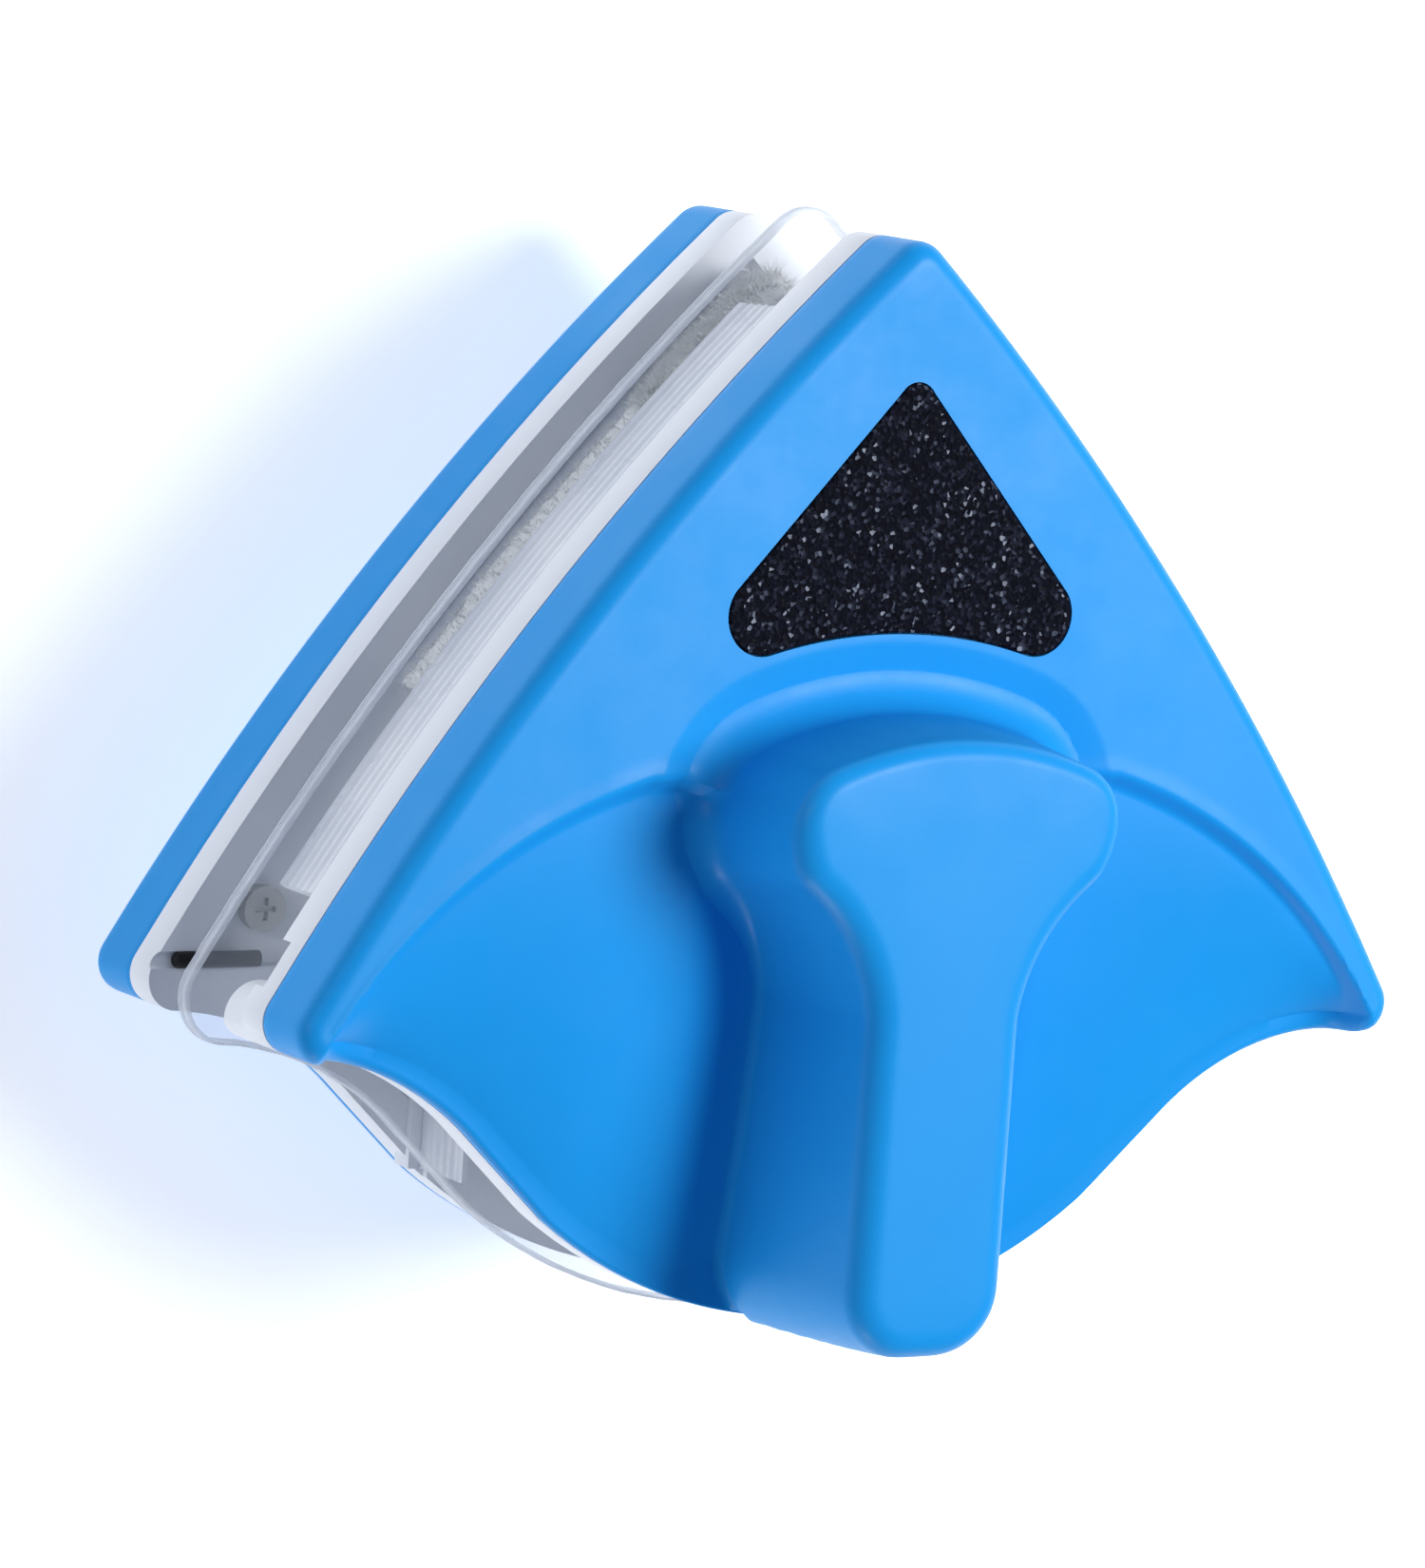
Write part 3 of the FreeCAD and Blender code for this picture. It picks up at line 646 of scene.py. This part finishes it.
def grip_solid():
    """Drafted grip with a soft rim, a crowned top and a hollow round at its foot."""
    count = len(GRIP)
    brim = GRIP_H - GRIP_CROWN
    rounding = ROUND_STEM + (ROUND_HEAD - ROUND_STEM) * smooth((GRIP[:, 1] - ROUND_FROM_Y) / ROUND_RAMP)
    wall_top = brim - rounding
    flare = FLARE_STEM + (FLARE_HEAD - FLARE_STEM) * smooth((GRIP[:, 1] - FLARE_FROM_Y) / FLARE_RAMP)
    outer = GRIP + GRIP_NORMAL * (GRIP_SPREAD + flare)[:, None]
    ground = top_height(outer)

    def wall_offset(height):
        return GRIP_SPREAD * (wall_top - height) / wall_top

    touch = ground + flare
    foot = wall_offset(touch)
    level = np.full(count, 1.0)
    skirt = foot + flare * FLARE_SKIRT
    layers = [(skirt, level * GRIP_BOTTOM)]
    layers.append((skirt, ground + flare * (1 - math.sin(FLARE_END)) - FLARE_DIP * flare))
    for a in np.linspace(FLARE_END, 0, 9):
        layers.append((foot + flare * (1 - math.cos(a)), ground + flare * (1 - math.sin(a))))
    for t in np.linspace(0, 1, 14)[1:]:
        height = touch + (wall_top - touch) * t
        layers.append((wall_offset(height), height))
    for a in np.linspace(0, math.pi / 2, 13)[1:]:
        layers.append((-rounding * (1 - math.cos(a)), wall_top + rounding * math.sin(a)))
    stack = []
    for offset, height in layers:
        ring = GRIP + GRIP_NORMAL * offset[:, None]
        edge = np.where(offset > foot + 0.01, curve_y(LOWER, np.abs(ring[:, 0])) + 0.3, LOWER_Y)
        ring[:, 1] = np.maximum(ring[:, 1], edge)
        stack.append(np.column_stack([ring, height]))
    faces = rings_to_faces(count, len(stack))
    faces.append(tuple(range(count))[::-1])
    last = (len(stack) - 1) * count
    rim = stack[-1][:, :2]
    grid, cap = fill_flat(rim, 0.8, count)
    gap = np.hypot(grid[:, None, 0] - rim[None, :, 0], grid[:, None, 1] - rim[None, :, 1]).min(1)
    rise = GRIP_CROWN * (1 - (1 - np.clip(gap / CROWN_REACH, 0, 1)) ** 2)
    faces += [tuple(last + i for i in f) for f in cap]
    vertices = np.vstack(stack + [np.column_stack([grid, brim + rise])])
    return vertices, faces


def prism_mesh(name, loop, low, high):
    count = len(loop)
    vertices = np.vstack([np.column_stack([loop, np.full(count, h)]) for h in (low, high)])
    faces = rings_to_faces(count, 2)
    faces += [tuple(range(count))[::-1], tuple(range(count, 2 * count))]
    return face_outwards(make_object(name, vertices, faces))


def shell(half):
    outside = shell_surface(0.0, 0.0, 150)
    body = face_outwards(make_object(half + "_shell_moulding", *outside))
    grip = face_outwards(make_object("grip", *grip_solid()))
    combine(body, grip, "UNION")
    cavity = face_outwards(make_object("cavity", *shell_surface(WALL, WALL, 60)))
    combine(body, cavity, "DIFFERENCE")
    pocket = GRIP - GRIP_NORMAL * WALL
    combine(body, prism_mesh("pocket", pocket, -1.0, GRIP_H - WALL), "DIFFERENCE")
    recess = resample(inset_curve(), 240)
    combine(body, prism_mesh("recess", recess, FACE_H - INSET_DEEP, FACE_H + 4), "DIFFERENCE")
    shade(body, 35)
    return put(body, half, "shell_blue", half + "_shell")


def scrub_inset(half):
    """Black glitter foam with a rounded lip and a grainy face."""
    loop = resample(inset_curve(), 300)
    normal = outward(loop)
    layers = [(0.2, FACE_H - INSET_DEEP + 0.05), (FOAM_GAP, FACE_H - FOAM_LIP_DROP)]
    for a in np.linspace(0, math.pi / 2, 5)[1:]:
        inwards = FOAM_GAP + FOAM_LIP_IN * (1 - math.cos(a))
        layers.append((inwards, FACE_H - FOAM_LIP_DROP + FOAM_LIP_UP * math.sin(a)))
    stack = [np.column_stack([loop - normal * d, np.full(len(loop), h)]) for d, h in layers]
    faces = rings_to_faces(len(loop), len(stack))
    faces.append(tuple(range(len(loop)))[::-1])
    last = (len(stack) - 1) * len(loop)
    grid, cap = fill_flat(stack[-1][:, :2], 0.45, len(loop))
    faces += [tuple(last + i for i in f) for f in cap]
    rng = np.random.default_rng(7)
    height = FACE_H + FOAM_PROUD + rng.normal(0, FOAM_GRAIN, len(grid))
    vertices = np.vstack(stack + [np.column_stack([grid, height])])
    obj = face_outwards(make_object(half + "_glitter_foam", vertices, faces))
    shade(obj, 60)
    return put(obj, half, "glitter_foam", half + "_scrub_inset")


def softened(node, slot, body):
    """The CAD piece with its sharp edges rounded."""
    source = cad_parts[node]
    obj = bpy.data.objects.new(node + "_moulding", source.data.copy())
    bpy.context.scene.collection.objects.link(obj)
    bm = bmesh.new()
    bm.from_mesh(obj.data)
    bmesh.ops.remove_doubles(bm, verts=bm.verts, dist=2e-6)
    bmesh.ops.dissolve_limit(bm, angle_limit=math.radians(0.6), verts=bm.verts, edges=bm.edges)
    bm.to_mesh(obj.data)
    bm.free()
    mod = obj.modifiers.new("soft edges", "BEVEL")
    mod.width = BASE_SOFT * MM
    mod.segments = BASE_SOFT_STEPS
    mod.limit_method = "ANGLE"
    mod.angle_limit = math.radians(BASE_SOFT_ANGLE)
    mod.use_clamp_overlap = True
    apply_modifiers(obj)
    shade(obj, 30)
    obj.data.materials.clear()
    obj.data.materials.append(MATERIALS[slot])
    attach(obj, body)
    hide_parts(node)
    return obj


def blade_profile(thick, seat_low):
    """A blade's section: down the outer face, with its fine lines, and back up."""
    steps = 60
    t = np.linspace(0, 1, steps)
    h = seat_low + (-TIP_H + TIP_SHORT - seat_low) * t
    lines = LINE_DEPTH * np.sin(t * BLADE_LINES * 2 * math.pi) * (t > LINE_FROM) * (t < LINE_TO)
    taper = thick / 2 * (1 - TAPER * smooth((t - TAPER_FROM) / (1 - TAPER_FROM)))
    outer = np.column_stack([taper + lines - LINE_DEPTH * (t > LINE_FROM), h])
    inner = np.column_stack([-taper, h])[::-1]
    return np.vstack([outer, inner])


def sweep(name, path, normal, profile):
    """Closed section carried along an open path in the plane."""
    count = len(profile)
    rings = []
    for p, n in zip(path, normal):
        xy = p[None, :] + n[None, :] * profile[:, :1]
        rings.append(np.column_stack([xy, profile[:, 1]]))
    faces = rings_to_faces(count, len(rings))
    last = (len(rings) - 1) * count
    faces += [tuple(range(count))[::-1], tuple(last + i for i in range(count))]
    return face_outwards(make_object(name, np.vstack(rings), faces))


def blades(half):
    low, mid, high = (flip(p) for p in side_arc())
    side = arc_points(low, mid, high, 0.8)
    along = np.gradient(side, axis=0)
    normal = np.column_stack([-along[:, 1], along[:, 0]]) / np.hypot(*along.T)[:, None]
    side = side - normal * (BLADE_INSET + BLADE_T / 2)
    keep = (side[:, 1] > BLADE_END_Y) & (side[:, 1] < BLADE_TOP_Y) & (side[:, 0] < -2.6)
    obj = sweep(half + "_side_lip", side[keep], normal[keep], blade_profile(BLADE_T, -RIM_H + SEAT_IN))
    shade(obj, 40)
    put(obj, half, "blade_clear", half + "_side_blade")
    y = np.arange(INNER_LOW_Y, INNER_TOP_Y + 0.1, 0.94)
    straight = np.column_stack([np.full(len(y), INNER_X), y])
    right = np.tile([[1.0, 0.0]], (len(y), 1))
    obj = sweep(half + "_inner_lip", straight, right, blade_profile(INNER_T, -DECK_H + SEAT_IN))
    shade(obj, 40)
    put(obj, half, "blade_clear", half + "_inner_blade")


def plate_edge_profile(low, high):
    """Cut edge of the plate from below to above: inwards and height."""
    middle = (low + high) / 2
    corner = [(PLATE_ROUND * (1 - math.sin(a)), low + PLATE_ROUND * (1 - math.cos(a)))
              for a in np.linspace(0, math.pi / 2, 5)]
    lower_groove = [(x, middle - off) for x, off in zip((0.0, PLATE_GROOVE, 0.0), GROOVE_OFF)]
    upper_groove = [(inwards, low + high - z) for inwards, z in lower_groove[::-1]]
    return corner + lower_groove + upper_groove + [(inwards, low + high - z) for inwards, z in corner[::-1]]


def separator():
    """Clear plate with a hazy cut edge that carries two fine grooves."""
    low, high = (c.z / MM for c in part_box("separator_plate"))
    loop = resample(OUTLINE + OUT_NORMAL * PLATE_OVER, 700)
    normal = outward(loop)
    count = len(loop)
    run = np.linspace(0, 2 * math.pi, count, endpoint=False)
    wave = PLATE_WAVE * (1.3 + np.sin(61 * run) * np.sin(17 * run + 1.0) + 0.3 * np.sin(137 * run))

    def ring_at(inwards, z):
        ring = loop - normal * np.reshape(inwards, (-1, 1))
        return np.column_stack([ring[:, 0], ring[:, 1] - MID_Y, np.full(count, z)])

    rings = [ring_at(inwards + wave, z) for inwards, z in plate_edge_profile(low, high)]
    rings += [ring_at(PLATE_ROUND + PLATE_EDGE_T, high), ring_at(PLATE_ROUND + PLATE_EDGE_T, low)]
    faces = rings_to_faces(count, len(rings) + 1)
    faces = [tuple(i % (count * len(rings)) for i in f) for f in faces]
    edge = make_object("separator_edge", np.vstack(rings) * MM, faces)

    inner = PLATE_ROUND + PLATE_EDGE_T + PLATE_SEAM
    stack = np.vstack([ring_at(inner, low), ring_at(inner, high)])
    faces = rings_to_faces(count, 2)
    for side, z in ((0, low), (1, high)):
        grid, cap = fill_flat(ring_at(inner, z)[:, :2], PLATE_GRID, len(stack))
        faces += [tuple(i + side * count if i < count else i for i in f) for f in cap]
        stack = np.vstack([stack, np.column_stack([grid, np.full(len(grid), z)])])
    sheet = make_object("separator_sheet", stack * MM, faces)
    for obj, material in ((edge, "plate_edge"), (sheet, "plate_clear")):
        face_outwards(obj)
        shade(obj, 35)
        obj.data.materials.append(MATERIALS[material])
        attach(obj, "separator")
        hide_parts("separator_plate")


def cloth_swell(obj):
    """Swells a closed mesh as a stuffed pad, by at most PAD_SWELL millimetres."""
    mod = obj.modifiers.new("remesh", "REMESH")
    mod.mode = "VOXEL"
    mod.voxel_size = PAD_VOXEL * MM
    apply_modifiers(obj)
    rest = np.array([v.co[:] for v in obj.data.vertices])
    cloth = obj.modifiers.new("cloth", "CLOTH")
    cloth.settings.use_pressure = True
    cloth.settings.uniform_pressure_force = PAD_PRESSURE
    cloth.settings.effector_weights.gravity = 0
    for number in range(1, PAD_FRAMES + 1):
        bpy.context.scene.frame_set(number)
    apply_modifiers(obj)
    bpy.context.scene.frame_set(1)
    now = np.array([v.co[:] for v in obj.data.vertices])
    move = now - rest
    size = np.linalg.norm(move, axis=1)[:, None]
    now = rest + move * np.minimum(1, PAD_SWELL * MM / np.maximum(size, 1e-9))
    obj.data.vertices.foreach_set("co", now.ravel())
    mod = obj.modifiers.new("finer", "SUBSURF")
    mod.levels = 2
    return apply_modifiers(obj)


def pad_mesh():
    """Pile pad in the front half's place, rough from its pile."""
    node = "front_cleaning_pad"
    low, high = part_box(node)
    middle = (low + high) / 2
    obj = bpy.data.objects.new("pad_blank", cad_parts[node].data.copy())
    bpy.context.scene.collection.objects.link(obj)
    bpy.context.view_layer.objects.active = obj
    for v in obj.data.vertices:
        shift = v.co - middle
        v.co = middle + Vector((shift.x * PAD_FIT[0], shift.y * PAD_FIT[1], shift.z * PAD_FIT[2]))
    cloth_swell(obj)
    rng = np.random.default_rng(11)
    margin = PAD_CLEAR * MM
    for v in obj.data.vertices:
        v.co += v.normal * (rng.normal(0, PAD_ROUGH) * MM)
        v.co.z = min(max(v.co.z, low.z + margin), high.z - margin)
    mesh = obj.data
    bpy.data.objects.remove(obj)
    return mesh


def pile_fibres(mesh):
    """Short tapered fibres that stand out of the pad's edge and face."""
    rng = np.random.default_rng(23)
    low, high = (np.array(c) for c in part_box("front_cleaning_pad"))
    tip_edge = FIBRE_CLEAR * MM
    root_edge = (FIBRE_CLEAR + FIBRE_WIDTH[1]) * MM
    faces = [f for f in mesh.polygons if f.normal.z < 0.75]
    side = np.array([1.0 if abs(f.normal.z) < 0.6 else FIBRE_ON_FACE for f in faces])
    frayed = np.array([f.center.y / MM + MID_Y > FRAY_Y for f in faces])
    share = side * (1 + 3 * frayed) * [f.area for f in faces]
    chosen = rng.choice(len(faces), FIBRE_COUNT, p=share / share.sum())
    vertices, triangles = [], []
    for k in chosen:
        face = faces[k]
        root = np.array(face.center) + rng.normal(0, FIBRE_SCATTER * MM, 3)
        root = np.clip(root, low + root_edge, high - root_edge)
        lean = np.array(face.normal) + rng.normal(0, FIBRE_LEAN, 3)
        lean /= np.linalg.norm(lean)
        across = np.cross(lean, rng.normal(0, 1, 3))
        across /= np.linalg.norm(across)
        third = np.cross(lean, across)
        reach = FRAY_LENGTH if frayed[k] and root[0] > 0 else FIBRE_LENGTH
        tip = root + lean * rng.uniform(*reach) * MM
        tip = np.clip(tip, low + tip_edge, high - tip_edge)
        first = len(vertices)
        width = rng.uniform(*FIBRE_WIDTH) * MM
        for angle in (0.0, 2.1, 4.2):
            vertices.append(root + width * (across * math.cos(angle) + third * math.sin(angle)))
        vertices.append(tip)
        a, b, c, d = range(first, first + 4)
        triangles += [(a, c, b), (a, b, d), (b, c, d), (c, a, d)]
    return vertices, triangles


def cleaning_pad(half, mesh, fibres):
    """The pad and its fibres, in the front place or turned over to the rear."""
    pad = bpy.data.objects.new(half + "_pile_pad", mesh.copy())
    bpy.context.scene.collection.objects.link(pad)
    hair = make_object(half + "_pile_fibres", *fibres)
    for obj in (pad, hair):
        if half == "rear":
            for v in obj.data.vertices:
                v.co = Vector((-v.co.x, v.co.y, (FRONT_Z + REAR_Z) * MM - v.co.z))
        shade(obj, 180)
        obj.data.materials.clear()
        obj.data.materials.append(MATERIALS["pad_white"])
        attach(obj, half + "_half")
    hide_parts(half + "_cleaning_pad")


PAD_MESH = pad_mesh()
PILE = pile_fibres(PAD_MESH)

for half in ("front", "rear"):
    shell(half)
    scrub_inset(half)
    softened(half + "_base", "base_white", half + "_half")
    blades(half)
    cleaning_pad(half, PAD_MESH, PILE)
    finishes = {"hook_patch": "hook_white", "yoke_plate": "steel", "base_screws": "screw_steel"}
    finishes.update({"magnet_" + where: "magnet_nickel" for where in ("apex", "centre", "left", "right")})
    for piece, slot in finishes.items():
        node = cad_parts[half + "_" + piece]
        node.data.materials.clear()
        node.data.materials.append(MATERIALS[slot])

separator()
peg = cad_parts["rear_cord_peg"]
peg.data.materials.clear()
peg.data.materials.append(MATERIALS["peg_black"])


# ------------------------------------------------------------------ studio

def area_light(name, place_m, aim, size, power):
    data = bpy.data.lights.new(name, "AREA")
    data.shape = "DISK"
    data.size = size
    data.energy = power
    light = bpy.data.objects.new(name, data)
    light.location = place_m
    light.rotation_euler = (Vector(aim) - Vector(place_m)).to_track_quat("-Z", "Y").to_euler()
    bpy.context.scene.collection.objects.link(light)


def studio():
    floor_mat, tree, shader = new_material("floor_pale")
    tint = ramp(tree, object_noise(tree, 3, 3), [(0.3, grey(0.90)), (0.7, grey(0.93))])
    tree.links.new(tint, shader.inputs["Base Color"])
    shader.inputs["Roughness"].default_value = 0.8
    shader.inputs["Emission Color"].default_value = (0.97, 0.97, 0.96, 1)
    shader.inputs["Emission Strength"].default_value = 0.60
    side = 3.0
    floor = make_object("floor", [(-side, -side, 0), (side, -side, 0), (side, side, 0), (-side, side, 0)],
                        [(0, 1, 2, 3)])
    floor.data.materials.append(floor_mat)
    world = bpy.data.worlds.new("studio")
    bpy.context.scene.world = world
    world.use_nodes = True
    world.node_tree.nodes["Background"].inputs["Color"].default_value = (0.40, 0.60, 1.0, 1)
    world.node_tree.nodes["Background"].inputs["Strength"].default_value = 0.18
    area_light("key", (0.48, 0.14, 0.86), (0, 0, 0.05), 0.46, 9.4)
    area_light("low_left", (-0.74, 0.22, 0.46), (0, 0, 0.045), 0.30, 1.0)
    area_light("low_front", (-0.25, -0.90, 0.06), (0, 0, 0.03), 0.30, 2.2)


CAMERA_PLACE = (-0.4931, 0.1193, 0.8280)
CAMERA_TURN = (-10.006, -31.164, 4.681)
CAMERA_LENS = 174.5


def camera():
    data = bpy.data.cameras.new("camera")
    data.lens = CAMERA_LENS
    data.sensor_width = 36.0
    data.clip_start = 0.01
    cam = bpy.data.objects.new("camera", data)
    cam.location = CAMERA_PLACE
    cam.rotation_euler = Euler([math.radians(a) for a in CAMERA_TURN], "XYZ")
    bpy.context.scene.collection.objects.link(cam)
    bpy.context.scene.camera = cam


studio()
camera()
bpy.context.scene.view_settings.view_transform = "Standard"
